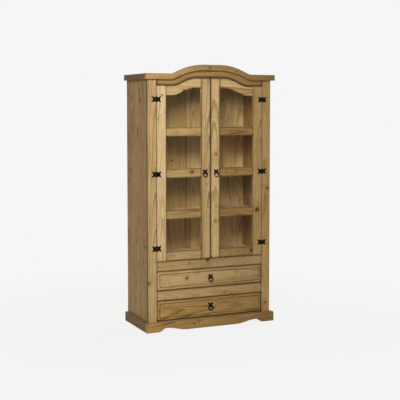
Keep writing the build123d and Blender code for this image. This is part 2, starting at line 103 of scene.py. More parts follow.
# %% [markdown]
# ## Camera
# The photograph was taken with a long lens, a little left of the cabinet and at about shoulder
# height. Its verticals run almost parallel, so the camera falls by only four degrees, and a
# small downward shift of the frame does the rest. A level camera would need a shift four times
# as large, which would push the cabinet out of every other view.

# %% Place the camera
FALL, TURN = 4.093, 24.03
camera_data = bpy.data.cameras.new("studio_camera")
camera_data.lens = 83.4
camera_data.sensor_width = 36.0
camera_data.shift_y = -0.065
camera = bpy.data.objects.new("studio_camera", camera_data)
camera.location = (-2.7501, -6.1781, 1.5689)
camera.rotation_euler = (radians(90 - FALL), 0, radians(-TURN))
scene.collection.objects.link(camera)
scene.camera = camera
scene.view_settings.view_transform = "Standard"
print("camera at", tuple(round(v, 3) for v in camera.location))

# %% [markdown]
# ## Studio
# The backdrop is a plain pale grey. Rays that the camera, a gloss or the glass sends out see
# it at full strength, and every other ray sees a weaker, even light, so that the background is
# pale and the cabinet isn't washed out by it. The floor asks for the same rays later on.

# %% Backdrop and even light
EVEN_LIGHT = 0.095


def looking_rays(tree):
    """The largest of three answers of the Light Path node, so 1 for a ray from the camera,
    from a gloss or through glass, and 0 for any other."""
    path = add(tree, "LightPath")
    seen = path["Is Camera Ray"]
    for ray in ("Is Glossy Ray", "Is Transmission Ray"):
        seen = add(tree, "Math", {0: seen, 1: path[ray]}, operation="MAXIMUM")[0]
    return seen


world = bpy.data.worlds.new("pale_studio")
world.use_nodes = True
tree = world.node_tree
tree.nodes.clear()
even = add(tree, "Background", {"Color": linear("#FFF0DA"), "Strength": EVEN_LIGHT})
pale = add(tree, "Background", {"Color": PALE, "Strength": 1.0})
mixed = add(tree, "MixShader", {0: looking_rays(tree), 1: even[0], 2: pale[0]})
add(tree, "OutputWorld", {"Surface": mixed[0]})
scene.world = world
print("world:", world.name)

# %% [markdown]
# A soft box stands at the front left, above the height of the crown. It lights the left of the
# front more than the right, grazes the left side and leaves soft shadows under the shelves, as
# in the photograph. A larger one, behind at the right, lights the sides that the photograph
# doesn't show. Wax would mirror that one as a white veil over the top, so it is kept out of
# every gloss.

# %% Soft boxes
def soft_box(name, place, aim, size, energy, gloss):
    """A rectangular lamp of that size in metres, turned so that its face looks at the aim.
    Without gloss it lights a surface but isn't mirrored in it."""
    lamp = bpy.data.lights.new(name, "AREA")
    lamp.shape = "RECTANGLE"
    lamp.size, lamp.size_y = size
    lamp.energy = energy
    lamp.color = linear("#FFFAF2")[:3]
    box = bpy.data.objects.new(name, lamp)
    box.location = place
    to_aim = Vector(aim) - box.location
    box.rotation_euler = to_aim.to_track_quat("-Z", "Y").to_euler()
    box.visible_camera = False
    box.visible_glossy = gloss
    scene.collection.objects.link(box)
    print(name, "stands", round(to_aim.length, 2), "m away")


soft_box("front_soft_box", (-1.5, -2.75, 2.52), (0.0, -0.2, 0.95), (0.8, 0.9), 78.0, True)
soft_box("back_soft_box", (2.6, 2.4, 2.2), (0.3, 0.2, 0.9), (1.4, 1.4), 95.0, False)

# %% [markdown]
# The floor is matt white paper. Close to the cabinet it is shaded, so that the shadow stays,
# and it fades into the pale of the backdrop farther out, where no edge may show.

# %% Floor paper
FADE_FROM, FADE_TO = 0.9, 2.6
GLOW_NEAR = 0.93

paper, tree = blank_material("matt_white_paper")
place = add(tree, "TexCoord")
distance = add(tree, "VectorMath", {0: place["Object"]}, operation="LENGTH")
fade = add(tree, "MapRange", {"Value": distance["Value"], "From Min": FADE_FROM, "From Max": FADE_TO,
                              "To Min": GLOW_NEAR, "To Max": 1.0}, interpolation_type="SMOOTHSTEP")
share = add(tree, "Math", {0: looking_rays(tree), 1: fade[0]}, operation="MULTIPLY")
matt = add(tree, "BsdfDiffuse", {"Color": linear("#F2F1EF")})
glow = add(tree, "Emission", {"Color": PALE, "Strength": 1.0})
mixed = add(tree, "MixShader", {0: share[0], 1: matt[0], 2: glow[0]})
add(tree, "OutputMaterial", {"Surface": mixed[0]})
print("the floor fades out from", FADE_FROM, "to", FADE_TO, "m")

# %% [markdown]
# ## Surfaces from arrays
# Every new piece is a surface on a grid of points. Its shape is a formula of two parameters,
# worked out for the whole grid at once. Neighbouring points join in four-sided faces.

# %% Grid to mesh
def grid(points, closed_rows=False, closed_columns=True):
    """Takes points as (rows, columns, 3). A face joins each point with the next in its row and
    those of the next row. A closed direction joins its last points to its first."""
    rows, columns = points.shape[:2]
    i, j = np.meshgrid(np.arange(rows if closed_rows else rows - 1),
                       np.arange(columns if closed_columns else columns - 1), indexing="ij")
    down, along = (i + 1) % rows, (j + 1) % columns
    corners = [i * columns + j, i * columns + along, down * columns + along, down * columns + j]
    return points.reshape(-1, 3), np.stack(corners, -1).reshape(-1, 4)


def piece(name, parts, finish, smooth_degrees=35):
    """Joins surfaces into one object at the origin. Points closer than 5 micrometres are
    merged, which closes poles and seams, and the faces are then turned outwards."""
    starts = np.cumsum([0] + [len(points) for points, _ in parts[:-1]])
    points = np.concatenate([points for points, _ in parts])
    faces = np.concatenate([faces + start for (_, faces), start in zip(parts, starts)])
    mesh = bpy.data.meshes.new(name)
    mesh.from_pydata(points.tolist(), [], faces.tolist())
    work = bmesh.new()
    work.from_mesh(mesh)
    bmesh.ops.remove_doubles(work, verts=work.verts, dist=5e-6)
    bmesh.ops.dissolve_degenerate(work, edges=work.edges, dist=1e-6)
    bmesh.ops.recalc_face_normals(work, faces=work.faces)
    work.to_mesh(mesh)
    work.free()
    mesh.polygons.foreach_set("use_smooth", np.ones(len(mesh.polygons), bool))
    mesh.set_sharp_from_angle(angle=radians(smooth_degrees))
    mesh.materials.append(finish)
    made = bpy.data.objects.new(name, mesh)
    scene.collection.objects.link(made)
    print(f"{name}: {len(mesh.polygons)} faces")
    return made


# %% [markdown]
# The floor is the first piece: a disc, half a millimetre under the plinth so that the two
# don't share a plane, and so wide that its rim is never in view.

# %% Floor
FLOOR_RADIUS = 60.0
FLOOR_HEIGHT = -0.0005


def disc(radius, count, rings=9):
    """Rings of points: the point of ring i and step j is at radius * i / (rings - 1), turned by
    a whole turn * j / count, all at the height of the floor."""
    reach = radius * np.linspace(0, 1, rings)[:, None]
    turn = 2 * pi * np.arange(count)[None, :] / count
    return np.stack([reach * np.cos(turn), reach * np.sin(turn), 0 * reach * turn + FLOOR_HEIGHT], -1)


floor = piece("paper_floor", [grid(disc(FLOOR_RADIUS, 64))], paper)

# %% [markdown]
# ## Pine
# The boards are plantation pine, sawn, planed and waxed. Five things make it read as pine: the
# yearly rings, which the saw cuts into stripes and long arches, the knots that push them
# aside, a broad streaky figure, short dark resin canals, and the edges, where the wax wears
# thin. A ring is a distance from the pith, so one formula on the board's own axes gives
# stripes on one face, arches on another and end grain on the third.
#
# The group works in metres on a board's axes: across its width, through its thickness and
# along its grain. A node can hold several boards, set at a pitch across the grain, and each
# of them takes its own chances from its number and the seed.

# %% Group sockets
PINE_INPUTS = (
    ("Vector", ("Board", "Half")), ("Float", ("Facing", "Pitch", "Glued", "Seed")), ("Vector", ("Tone",)),
    ("Float", ("Fade", "Marked", "Sides", "Field", "Reach", "Wax and shade")), ("Vector", ("Branch",)),
    ("Color", ("Early wood", "Late wood")))
PINE_OUTPUTS = (("Color", ("Color",)), ("Float", ("Roughness",)), ("Vector", ("Normal",)))

pine = bpy.data.node_groups.new("pine_board", "ShaderNodeTree")
for direction, table in (("INPUT", PINE_INPUTS), ("OUTPUT", PINE_OUTPUTS)):
    for kind, socket_names in table:
        for socket_name in socket_names:
            pine.interface.new_socket(socket_name, in_out=direction, socket_type=f"NodeSocket{kind}")
board = add(pine, "NodeGroupInput")
print("pine group sockets:", len(pine.interface.items_tree))

# %% [markdown]
# ### One board among several
# The place across is divided by the pitch and rounded, which numbers the boards. What is left
# is the place on that board. A white noise of the number gives three chances from 0 to 1. The
# first one says where in a log of 40 m the board was cut.

# %% Number the boards
SEED_STEP = 7.31
LOG_LENGTH = 40.0
axes = add(pine, "SeparateXYZ", {0: board["Board"]})
across, through, along = axes[0], axes[1], axes[2]
number = add(pine, "Math", {0: across, 1: board["Pitch"]}, operation="DIVIDE")
number = add(pine, "Math", {0: number[0]}, operation="ROUND")[0]
middle = add(pine, "Math", {0: number, 1: board["Pitch"]}, operation="MULTIPLY")
local = add(pine, "Math", {0: across, 1: middle[0]}, operation="SUBTRACT")[0]
key = add(pine, "Math", {0: number, 1: SEED_STEP, 2: board["Seed"]}, operation="MULTIPLY_ADD")[0]
chance = add(pine, "TexWhiteNoise", {"W": key}, noise_dimensions="1D")
chance = add(pine, "SeparateXYZ", {0: chance["Color"]})
along_log = add(pine, "Math", {0: chance[0], 1: LOG_LENGTH, 2: along}, operation="MULTIPLY_ADD")[0]
spot = add(pine, "CombineXYZ", {0: local, 1: through, 2: along_log})[0]
print("a board's chances come from its number times", SEED_STEP, "and its seed")

# %% [markdown]
# ### Knots by chance
# A branch grows out through the trunk, so a knot goes right through the board and is found on
# its width and length alone. Cells of 75 by 250 mm hold one possible knot each, and a fifth of
# them have one, 5 to 18 mm across. Its distance is counted in its own radii, so that its rim
# is at 1. A noise of 9 mm, halved to either side, makes the outline ragged.

# %% Knots by chance
KNOT_CELL = (0.075, 0.25)
KNOT_SHARE = 0.2
KNOT_RADII = (0.0025, 0.009)
KNOT_RAGGED = 0.009
RAGGED_PER_METRE = (110.0, 110.0, 60.0)
FAR_AWAY = 50.0

ragged = add(pine, "VectorMath", {0: spot, 1: RAGGED_PER_METRE}, operation="MULTIPLY")[0]
ragged = add(pine, "TexNoise", {"Vector": ragged, "Scale": 1.0, "Detail": 2.0})["Fac"]


def in_radii(gap, knot_radius):
    """The gap to a knot's middle, plus the ragged noise, less half its size, over the radius."""
    gap = add(pine, "Math", {0: ragged, 1: KNOT_RAGGED, 2: gap}, operation="MULTIPLY_ADD")[0]
    gap = add(pine, "Math", {0: gap, 1: KNOT_RAGGED / 2}, operation="SUBTRACT")[0]
    return add(pine, "Math", {0: gap, 1: knot_radius}, operation="DIVIDE")[0]


flat_spot = add(pine, "CombineXYZ", {0: local, 1: along_log})[0]
scaled = add(pine, "VectorMath", {0: flat_spot, 1: (1 / KNOT_CELL[0], 1 / KNOT_CELL[1], 0.0)},
             operation="MULTIPLY")[0]
cells = add(pine, "TexVoronoi", {"Vector": scaled, "Scale": 1.0, "Randomness": 0.9},
            voronoi_dimensions="2D", feature="F1")
gap = add(pine, "VectorMath", {0: cells["Position"], 1: scaled}, operation="SUBTRACT")[0]
gap = add(pine, "VectorMath", {0: gap, 1: (*KNOT_CELL, 0.0)}, operation="MULTIPLY")[0]
gap = add(pine, "VectorMath", {0: gap}, operation="LENGTH")["Value"]
cell_chance = add(pine, "SeparateXYZ", {0: cells["Color"]})
radius = add(pine, "MapRange", {"Value": cell_chance[1], "To Min": KNOT_RADII[0], "To Max": KNOT_RADII[1]})[0]
absent = add(pine, "Math", {0: cell_chance[0], 1: KNOT_SHARE}, operation="GREATER_THAN")[0]
ratio = add(pine, "Math", {0: absent, 1: FAR_AWAY, 2: in_radii(gap, radius)}, operation="MULTIPLY_ADD")[0]
print("one cell in", round(1 / KNOT_SHARE), "has a knot")

# %% [markdown]
# ### One chosen knot
# Some boards of the real cabinet have a knot that anyone would know it by. A board can be
# given one such branch, as a place across, a place along and a radius. Whichever knot is
# nearer, counted in radii, is the one that shows.

# %% One chosen knot
branch = add(pine, "SeparateXYZ", {0: board["Branch"]})
flat_board = add(pine, "CombineXYZ", {0: across, 1: along})[0]
flat_branch = add(pine, "CombineXYZ", {0: branch[0], 1: branch[1]})[0]
branch_gap = add(pine, "VectorMath", {0: flat_board, 1: flat_branch}, operation="DISTANCE")["Value"]
branch_ratio = in_radii(branch_gap, branch[2])
closer = add(pine, "Math", {0: branch_ratio, 1: ratio}, operation="LESS_THAN")[0]
radius = add(pine, "Mix", {0: closer, 2: radius, 3: branch[2]})[0]
ratio = add(pine, "Math", {0: branch_ratio, 1: ratio}, operation="MINIMUM")[0]
print("chosen knots come by the socket", board["Branch"].name)

# %% [markdown]
# A knot is a hard core with a dark rim of bark, a third of a radius to either side. The grain
# round it is disturbed out to five and a half radii, and that nearness bends the rings later.

# %% Core, rim and nearness
CORE_EDGE = (0.8, 1.15)
RIM_WIDTH = 0.35
DISTURBED = 5.5
knot = add(pine, "MapRange", {"Value": ratio, "From Min": CORE_EDGE[0], "From Max": CORE_EDGE[1],
                              "To Min": 1.0, "To Max": 0.0}, interpolation_type="SMOOTHSTEP")[0]
off_rim = add(pine, "Math", {0: ratio, 1: 1.0}, operation="SUBTRACT")
off_rim = add(pine, "Math", {0: off_rim[0]}, operation="ABSOLUTE")
rim = add(pine, "MapRange", {"Value": off_rim[0], "From Max": RIM_WIDTH, "To Min": 1.0, "To Max": 0.0})[0]
near = add(pine, "MapRange", {"Value": ratio, "From Min": 1.0, "From Max": DISTURBED,
                              "To Min": 1.0, "To Max": 0.0}, interpolation_type="SMOOTHSTEP")[0]
print("a knot disturbs the grain out to", DISTURBED, "radii")

# %% [markdown]
# ### The pith
# The pith, the middle of the tree, lies 35 to 85 mm behind the board's middle. It lies 30 mm
# deeper for each metre that the board runs on, and up to 40 mm to one side, which is what
# draws arches. A slow noise bends the distance from it, and a knot adds two of its radii.

# %% Distance from the pith
PITH_DEPTHS = (0.035, 0.085)
PITH_LEAN = 0.03
PITH_ASIDE = 0.08
PITH_TWIST = 0.07
BEND, BEND_PER_METRE = 0.028, (9.0, 9.0, 1.1)
PUSH = 2.0
drift = add(pine, "Math", {0: chance[2], 1: 0.5}, operation="SUBTRACT")[0]
pith_across = add(pine, "Math", {0: drift, 1: along}, operation="MULTIPLY")[0]
pith_across = add(pine, "Math", {0: pith_across, 1: PITH_TWIST, 2: drift}, operation="MULTIPLY_ADD")[0]
pith_across = add(pine, "Math", {0: pith_across, 1: PITH_ASIDE}, operation="MULTIPLY")[0]
pith_deep = add(pine, "MapRange", {"Value": chance[1], "To Min": PITH_DEPTHS[0], "To Max": PITH_DEPTHS[1]})[0]
pith_deep = add(pine, "Math", {0: along, 1: PITH_LEAN, 2: pith_deep}, operation="MULTIPLY_ADD")[0]
pith = add(pine, "CombineXYZ", {0: pith_across, 1: pith_deep})[0]
section = add(pine, "CombineXYZ", {0: local, 1: through})[0]
from_pith = add(pine, "VectorMath", {0: section, 1: pith}, operation="SUBTRACT")[0]
from_pith = add(pine, "VectorMath", {0: from_pith}, operation="LENGTH")["Value"]
slow = add(pine, "VectorMath", {0: spot, 1: BEND_PER_METRE}, operation="MULTIPLY")[0]
slow = add(pine, "TexNoise", {"Vector": slow, "Scale": 1.0, "Detail": 2.0, "Roughness": 0.45})["Fac"]
bent = add(pine, "Math", {0: slow, 1: BEND, 2: from_pith}, operation="MULTIPLY_ADD")[0]
push = add(pine, "Math", {0: near, 1: radius}, operation="MULTIPLY")[0]
bent = add(pine, "Math", {0: push, 1: PUSH, 2: bent}, operation="MULTIPLY_ADD")[0]
print("pith", PITH_DEPTHS, "m behind the board")

# %% [markdown]
# ### Yearly rings
# Rings are 6.5 mm wide on average: real ones of 3 mm would be finer than the picture can show.
# A noise along the radius, of about 18 mm, makes some years wide and some narrow, and a chance
# for each year makes its late wood dark or faint. The ramp runs through one year. It stays
# pale for half of it, turns dark in late summer, and the next spring starts with a sharp line.

# %% Rings
RING_WIDTH = 0.0065
RING_UNEVEN = 0.011
UNEVEN_PER_METRE = 55.0
FAINTEST = 0.15
uneven = add(pine, "Math", {0: from_pith, 1: UNEVEN_PER_METRE, 2: key}, operation="MULTIPLY_ADD")
uneven = add(pine, "TexNoise", {"W": uneven[0], "Scale": 1.0, "Detail": 1.0}, noise_dimensions="1D")["Fac"]
bent = add(pine, "Math", {0: uneven, 1: RING_UNEVEN, 2: bent}, operation="MULTIPLY_ADD")[0]
years = add(pine, "Math", {0: bent, 1: RING_WIDTH}, operation="DIVIDE")[0]
year = add(pine, "Math", {0: years}, operation="FLOOR")
year = add(pine, "Math", {0: year[0], 1: key}, operation="ADD")
strong = add(pine, "TexWhiteNoise", {"W": year[0]}, noise_dimensions="1D")["Value"]
strong = add(pine, "MapRange", {"Value": strong, "From Min": FAINTEST, "To Min": FAINTEST,
                                "To Max": 1.0})[0]
season = add(pine, "Math", {0: years}, operation="FRACT")[0]
ramp = pine.nodes.new("ShaderNodeValToRGB")
pine.links.new(season, ramp.inputs[0])
# The ramp has two stops from the start: the first gets its grey, and the last stays white.
ramp.color_ramp.elements[0].color = (0.05, 0.05, 0.05, 1.0)
for position, grey in ((0.45, 0.12), (0.86, 1.0), (0.94, 0.8)):
    ramp.color_ramp.elements.new(position).color = (grey, grey, grey, 1.0)
late = add(pine, "Math", {0: ramp.outputs[0], 1: strong}, operation="MULTIPLY")[0]
print("ramp stops:", [round(stop.position, 2) for stop in ramp.color_ramp.elements])

# %% [markdown]
# ### Figure, clouds, fibres, resin and bruises
# Noises are stretched along the grain, each with so many cells to a metre across, through and
# along. The broad figure makes streaks 30 mm wide and 0.3 m long. Clouds of 90 by 200 mm are
# where the coloured wax was rubbed on thicker. Fibres are 1 mm wide, and resin canals are the
# few high points of a noise 3 mm wide. Bruises, 8 by 24 mm, took more of the dark wax. They lie
# in patches of 80 by 250 mm, and the lower a board's Marked value, the more of it they cover.

# %% Streaks
CLOUD_FROM, CLOUD_TO, CLOUD_MOST = 0.45, 0.75, 0.3
CANAL_FROM, CANAL_TO = 0.66, 0.76
BRUISE_FROM, BRUISE_TO = 0.6, 0.66
PATCH_TO, PATCH_MOST = 0.6, 0.6
noises = {}
for name, per_metre, options in (
        ("broad", (34.0, 34.0, 3.2), {"Detail": 5.0, "Roughness": 0.75}),
        ("cloud", (11.0, 11.0, 5.0), {"Detail": 4.0, "Roughness": 0.6}),
        ("fibre", (900.0, 900.0, 14.0), {"Detail": 1.0}),
        ("canal", (330.0, 330.0, 11.0), {"Detail": 0.0}),
        ("bruise", (125.0, 125.0, 42.0), {"Detail": 2.0, "Distortion": 1.2}),
        ("patch", (12.0, 12.0, 4.0), {"Detail": 1.0})):
    stretched = add(pine, "VectorMath", {0: spot, 1: per_metre}, operation="MULTIPLY")[0]
    noises[name] = add(pine, "TexNoise", {"Vector": stretched, "Scale": 1.0, **options})["Fac"]
broad, fibre = noises["broad"], noises["fibre"]
cloud = add(pine, "MapRange", {"Value": noises["cloud"], "From Min": CLOUD_FROM, "From Max": CLOUD_TO,
                               "To Max": CLOUD_MOST}, interpolation_type="SMOOTHSTEP")[0]
canal = add(pine, "MapRange", {"Value": noises["canal"], "From Min": CANAL_FROM, "From Max": CANAL_TO})[0]
bruise = add(pine, "MapRange", {"Value": noises["bruise"], "From Min": BRUISE_FROM,
                                "From Max": BRUISE_TO})[0]
patch = add(pine, "MapRange", {"Value": noises["patch"], "From Min": board["Marked"],
                               "From Max": PATCH_TO, "To Max": PATCH_MOST})[0]
bruise = add(pine, "Math", {0: bruise, 1: patch}, operation="MULTIPLY")[0]
print("noises:", ", ".join(noises))

# %% [markdown]
# ### Worn and highlit edges
# The board's half sizes less the place, on all three axes, are its distances from its ends.
# One of them is nothing on any face, so the second smallest is the way to the nearest arris.
# The wax wears thin there, and the arris is painted lighter, for the wear and also as a painted
# highlight where an eased edge catches the light, over half a millimetre to 5.5 mm as the figure
# goes. Boards that are glued edge to edge share one outline.

# %% Wear
ARRIS_LEAST, ARRIS_MORE = 0.0005, 0.005
whole = add(pine, "Mix", {0: board["Glued"], 2: local, 3: across})[0]
outline = add(pine, "CombineXYZ", {0: whole, 1: through, 2: along})[0]
outline = add(pine, "VectorMath", {0: outline}, operation="ABSOLUTE")[0]
outline = add(pine, "VectorMath", {0: board["Half"], 1: outline}, operation="SUBTRACT")[0]
outline = add(pine, "SeparateXYZ", {0: outline})
low = add(pine, "Math", {0: outline[0], 1: outline[1]}, operation="MINIMUM")[0]
high = add(pine, "Math", {0: outline[0], 1: outline[1]}, operation="MAXIMUM")[0]
high = add(pine, "Math", {0: high, 1: outline[2]}, operation="MINIMUM")[0]
arris = add(pine, "Math", {0: low, 1: high}, operation="MAXIMUM")[0]
reach_in = add(pine, "Math", {0: broad, 1: ARRIS_MORE, 2: ARRIS_LEAST}, operation="MULTIPLY_ADD")[0]
worn_and_highlit = add(pine, "MapRange", {"Value": arris, "From Max": reach_in, "To Min": 1.0, "To Max": 0.0},
           interpolation_type="SMOOTHSTEP")[0]
print("wear reaches", round(1000 * (ARRIS_LEAST + ARRIS_MORE), 1), "mm in at most")

# %% [markdown]
# ### Gathered wax and painted shade
# Dark wax gathers where no cloth rubs it off, and painted shade is laid over it, so every gap
# between boards reads dark, as if in shadow. Both lie along the edges of a face, in the quirk
# round a raised field, where they paint the shadow of the field's step, and on the sides of a
# board from 2 mm behind its face, painted as if in the shade of the gap. An Ambient Occlusion
# node that looks into the board finds its real edges, curved ones too, which the box of a
# shaped board can't: it answers 1 in the middle of a face and a half at an arris. Its reach
# has to stay less than the board's thickness, because otherwise it meets the far face
# everywhere.

# %% Dark wax
AT_ARRIS = 0.5
SIDE_FROM, SIDE_TO = 0.0015, 0.0025
FACING_LEAST = 0.5
QUIRK_WIDTH, QUIRK_WAX_AND_SHADE = 0.0045, 0.65
# Painted shade: this darkens every edge, side and quirk of a board, for the shadow in the gaps as well as for
# dark wax.
edge = add(pine, "AmbientOcclusion", {"Distance": board["Reach"]}, inside=True, only_local=True,
           samples=8)["AO"]
edge = add(pine, "MapRange", {"Value": edge, "From Min": AT_ARRIS, "From Max": 1.0, "To Min": 1.0,
                              "To Max": 0.0})[0]
wax_and_painted_shade = add(pine, "Math", {0: edge, 1: board["Wax and shade"]}, operation="MULTIPLY")[0]
on_side = add(pine, "Math", {0: board["Facing"]}, operation="ABSOLUTE")
on_side = add(pine, "Math", {0: on_side[0], 1: FACING_LEAST}, operation="LESS_THAN")
behind = add(pine, "MapRange", {"Value": outline[1], "From Min": SIDE_FROM, "From Max": SIDE_TO})
on_side = add(pine, "Math", {0: on_side[0], 1: behind[0]}, operation="MULTIPLY")
on_side = add(pine, "Math", {0: on_side[0], 1: board["Sides"]}, operation="MULTIPLY")[0]
inset = add(pine, "Math", {0: outline[0], 1: outline[2]}, operation="MINIMUM")[0]
quirk = add(pine, "Math", {0: inset, 1: board["Field"]}, operation="SUBTRACT")[0]
quirk = add(pine, "Math", {0: quirk}, operation="ABSOLUTE")[0]
quirk = add(pine, "MapRange", {"Value": quirk, "From Max": QUIRK_WIDTH, "To Min": QUIRK_WAX_AND_SHADE, "To Max": 0.0},
            interpolation_type="SMOOTHSTEP")[0]
for more in (quirk, on_side):
    wax_and_painted_shade = add(pine, "Math", {0: wax_and_painted_shade, 1: more}, operation="MAXIMUM")[0]
print("nodes so far:", len(pine.nodes))

# %% [markdown]
# Boards that are glued edge to edge show a fine dark line at each joint, half a pitch from
# the middle of a board. It is drawn 1.4 mm wide, as a real one is too fine to show.

# %% Glued joints
JOINT_WIDTH, JOINT_DARK = 0.0014, 0.5
joint = add(pine, "Math", {0: local}, operation="ABSOLUTE")[0]
joint = add(pine, "Math", {0: board["Pitch"], 1: 0.5, 2: joint}, operation="MULTIPLY_ADD")[0]
joint = add(pine, "Math", {0: board["Pitch"], 1: joint}, operation="SUBTRACT")[0]
joint = add(pine, "MapRange", {"Value": joint, "From Max": JOINT_WIDTH, "To Min": JOINT_DARK,
                               "To Max": 0.0})[0]
joint = add(pine, "Math", {0: joint, 1: board["Glued"]}, operation="MULTIPLY")[0]
print("glue lines", 1000 * JOINT_WIDTH, "mm wide")

# %% [markdown]
# ### Wood colour
# Early wood turns to late wood by the ring and the figure together. Each board is a little
# lighter or darker than the next, and the fibres vary it by a few percent. Fade darkens a board
# from one end to the other as painted shade: the long front boards darken to the right, where
# less light falls, and the back panels darken towards the top, where less light reaches.

# %% Mix the wood
FIGURE, FIGURE_LESS, RINGS = 0.68, -0.22, 0.66
BOARD_TONES = (0.92, 1.06)
FIBRE_TONE = 0.16
amount = add(pine, "Math", {0: broad, 1: FIGURE, 2: FIGURE_LESS}, operation="MULTIPLY_ADD", use_clamp=True)[0]
amount = add(pine, "Math", {0: late, 1: RINGS, 2: amount}, operation="MULTIPLY_ADD", use_clamp=True)[0]
wood = add(pine, "Mix", {0: amount, 6: board["Early wood"], 7: board["Late wood"]}, data_type="RGBA")[2]
tone = add(pine, "MapRange", {"Value": chance[1], "To Min": BOARD_TONES[0], "To Max": BOARD_TONES[1]})[0]
# Painted shade: lean darkens the board towards the high end of its grain, the right of the front rails and
# the top of the back panels.
half_length = add(pine, "SeparateXYZ", {0: board["Half"]})[2]
lean = add(pine, "Math", {0: along, 1: half_length}, operation="DIVIDE")
lean = add(pine, "Math", {0: lean[0], 1: board["Fade"]}, operation="MULTIPLY")
lean = add(pine, "Math", {0: 1.0, 1: lean[0]}, operation="SUBTRACT")[0]
fibre_variation = add(pine, "Math", {0: fibre, 1: FIBRE_TONE, 2: 1 - FIBRE_TONE / 2}, operation="MULTIPLY_ADD")[0]
for factor in (lean, fibre_variation):
    tone = add(pine, "Math", {0: tone, 1: factor}, operation="MULTIPLY")[0]
wood = add(pine, "VectorMath", {0: wood, "Scale": tone}, operation="SCALE")[0]
wood = add(pine, "VectorMath", {0: wood, 1: board["Tone"]}, operation="MULTIPLY")[0]
print("boards vary in tone from", BOARD_TONES[0], "to", BOARD_TONES[1])

# %% [markdown]
# Over the bare wood come its layers, one after the other: clouds of coloured wax, the warm
# grain round a knot, the red-brown core and its dark rim, the dark wax in canals, bruises and
# joints together with the painted shade of gaps, edges and quirks, and last the worn arrises
# with their painted highlight. No arris is lightened where the dark wax and painted shade lie.

# %% Lay on knots and wax
HALO, CORE, BARK, CANAL, BARE_AND_HIGHLIT_ARRIS = 0.4, 0.85, 0.8, 0.2, 0.45
halo = add(pine, "Math", {0: near, 1: HALO}, operation="MULTIPLY")[0]
core = add(pine, "Math", {0: knot, 1: CORE}, operation="MULTIPLY")[0]
bark = add(pine, "Math", {0: rim, 1: BARK}, operation="MULTIPLY")[0]
lines = add(pine, "Math", {0: canal, 1: CANAL, 2: joint}, operation="MULTIPLY_ADD")[0]
lines = add(pine, "Math", {0: bruise, 1: lines}, operation="MAXIMUM")[0]
lines = add(pine, "Math", {0: lines, 1: wax_and_painted_shade}, operation="ADD", use_clamp=True)[0]
clean = add(pine, "Math", {0: 1.0, 1: lines}, operation="SUBTRACT")[0]
bare_and_highlit = add(pine, "Math", {0: worn_and_highlit, 1: clean}, operation="MULTIPLY")[0]
bare_and_highlit = add(pine, "Math", {0: bare_and_highlit, 1: BARE_AND_HIGHLIT_ARRIS}, operation="MULTIPLY")[0]
# Painted shade and highlight: the dark #2E1A08 carries the painted shade along with the dark wax, and the
# pale #DDBD8C the painted highlight on arrises along with their wear.
for share, colour in ((cloud, "#8A6430"), (halo, "#94683A"), (core, "#54331B"), (bark, "#2C190C"),
                      (lines, "#2E1A08"), (bare_and_highlit, "#DDBD8C")):
    wood = add(pine, "Mix", {0: share, 6: wood, 7: linear(colour)}, data_type="RGBA")[2]
print("layers laid on, nodes so far:", len(pine.nodes))

# %% [markdown]
# ### Gloss and relief
# Wax leaves a soft gloss, duller on bare fibres and worn arrises. The late wood stands a hair
# proud of the early wood, because the plane crushes the softer early wood, and joints, gaps
# and the rims of knots lie lower. The relief is 0.4 mm for a height of 1.

# %% Gloss and relief
ROUGH_WAX, ROUGH_FIGURE, ROUGH_WORN = 0.36, 0.2, 0.1
RELIEF = 0.0004
rough = add(pine, "Math", {0: broad, 1: ROUGH_FIGURE, 2: ROUGH_WAX}, operation="MULTIPLY_ADD")[0]
rough = add(pine, "Math", {0: worn_and_highlit, 1: ROUGH_WORN, 2: rough}, operation="MULTIPLY_ADD")[0]
relief = fibre
for layer, height in ((late, 0.5), (lines, -1.2), (rim, -0.8)):
    relief = add(pine, "Math", {0: layer, 1: height, 2: relief}, operation="MULTIPLY_ADD")[0]
normal = add(pine, "Bump", {"Height": relief, "Strength": 0.5, "Distance": RELIEF})[0]
add(pine, "NodeGroupOutput", {"Color": wood, "Roughness": rough, "Normal": normal})
print("pine group nodes:", len(pine.nodes))

# %% [markdown]
# ### A finish for each board
# The same tree grew every board, but no two are sawn alike. Each node gets its own finish,
# which turns the object's axes into the board's own, centres them and picks a seed. Waxed pine
# is honey-coloured, from the stained wax. Some of its boards are striped, because their late
# wood took the stain more. Inside the drawers and under the floor the wood is bare and paler.

# %% Make a board's finish
WAXED = (linear("#DDC190"), linear("#86602C"))
STRIPED = (linear("#DFBD85"), linear("#684315"))
BARE = (linear("#DEC79C"), linear("#B08C5A"))
BEYOND = 9.0
NO_BRANCH = (BEYOND, BEYOND, BEYOND, 0.005)


